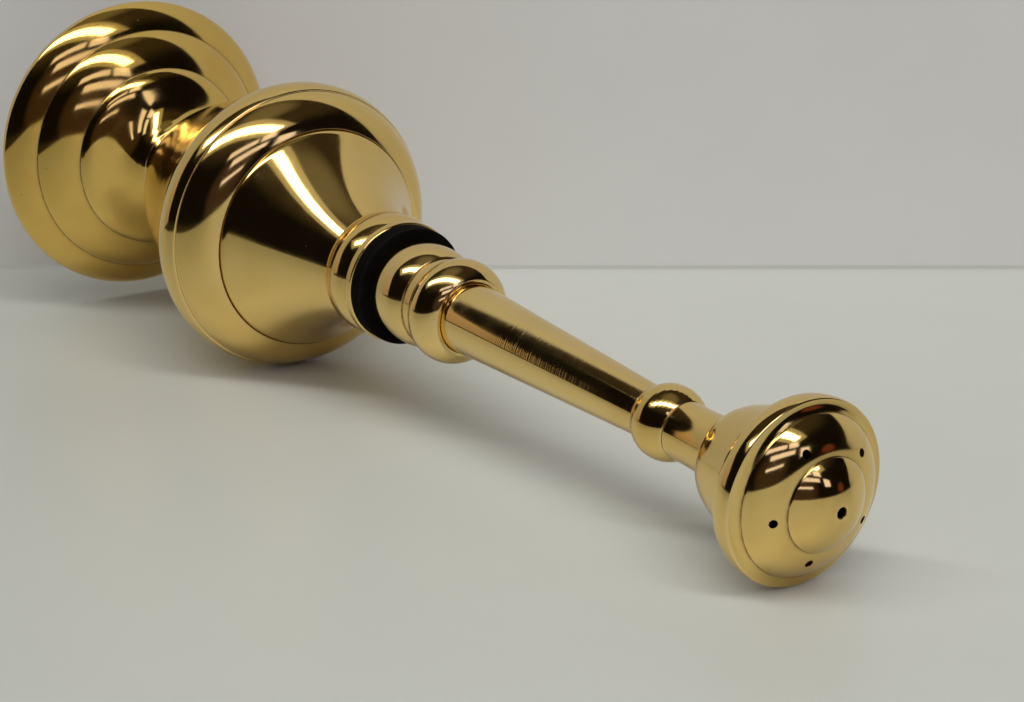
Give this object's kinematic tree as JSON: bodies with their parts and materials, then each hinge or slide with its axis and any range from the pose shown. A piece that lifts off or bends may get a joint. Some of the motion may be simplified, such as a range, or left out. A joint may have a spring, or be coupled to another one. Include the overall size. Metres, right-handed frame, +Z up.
{
  "type": "aspergillum",
  "caption": "Brass holy-water sprinkler: stepped foot, double-bowl reservoir, gasketed screw neck, tapered shaft and a perforated screw-on head.",
  "frame": {"origin": "centre of the foot's underside, on the surface that the part stands on", "axes": "+Z up along the axis of the turned pieces, from the foot to the perforated head"},
  "size_m": [0.076, 0.076, 0.2783],
  "materials": {
    "polished_brass": "mirror-polished yellow brass with faint lathe marks and handling wear",
    "fitting_brass": "turned, unpolished brass with cut threads",
    "black_rubber": "matt black moulded rubber"
  },
  "bodies": {
    "reservoir": {"foot": "polished_brass", "foot_washer": "fitting_brass", "foot_nut": "fitting_brass", "tie_rod": "fitting_brass", "stem": "polished_brass", "lower_bowl": "polished_brass", "bowl_washer": "black_rubber", "bowl_nut": "fitting_brass", "equator_band": "polished_brass", "upper_bowl": "polished_brass", "neck_collar": "polished_brass"},
    "gasket": {"neck_gasket": "black_rubber"},
    "sprinkler": {"neck_nipple": "fitting_brass", "ferrule": "polished_brass", "shaft_tube": "polished_brass", "ball_socket": "polished_brass"},
    "head_washer": {"head_seal": "black_rubber"},
    "head": {"head_nipple": "fitting_brass", "head_cup": "polished_brass", "rose_cap": "polished_brass"}
  },
  "joints": [
    {"name": "sprinkler_lift", "type": "slide", "parent": "reservoir", "child": "gasket", "axis": [0, 0, 1], "range_m": [0, 0.01]},
    {"name": "sprinkler_unscrew", "type": "hinge", "parent": "gasket", "child": "sprinkler", "pos_m": [0, 0, 0.1365], "axis": [0, 0, 1], "range_deg": [0, 1800]},
    {"name": "head_lift", "type": "slide", "parent": "sprinkler", "child": "head_washer", "axis": [0, 0, 1], "range_m": [0, 0.00625]},
    {"name": "head_unscrew", "type": "hinge", "parent": "head_washer", "child": "head", "pos_m": [0, 0, 0.234], "axis": [0, 0, 1], "range_deg": [0, 1800]}
  ],
  "couplings": [
    {"joint": "sprinkler_unscrew", "follows": "sprinkler_lift", "rad_per_m": 3141.6},
    {"joint": "head_unscrew", "follows": "head_lift", "rad_per_m": 5026.5}
  ]
}
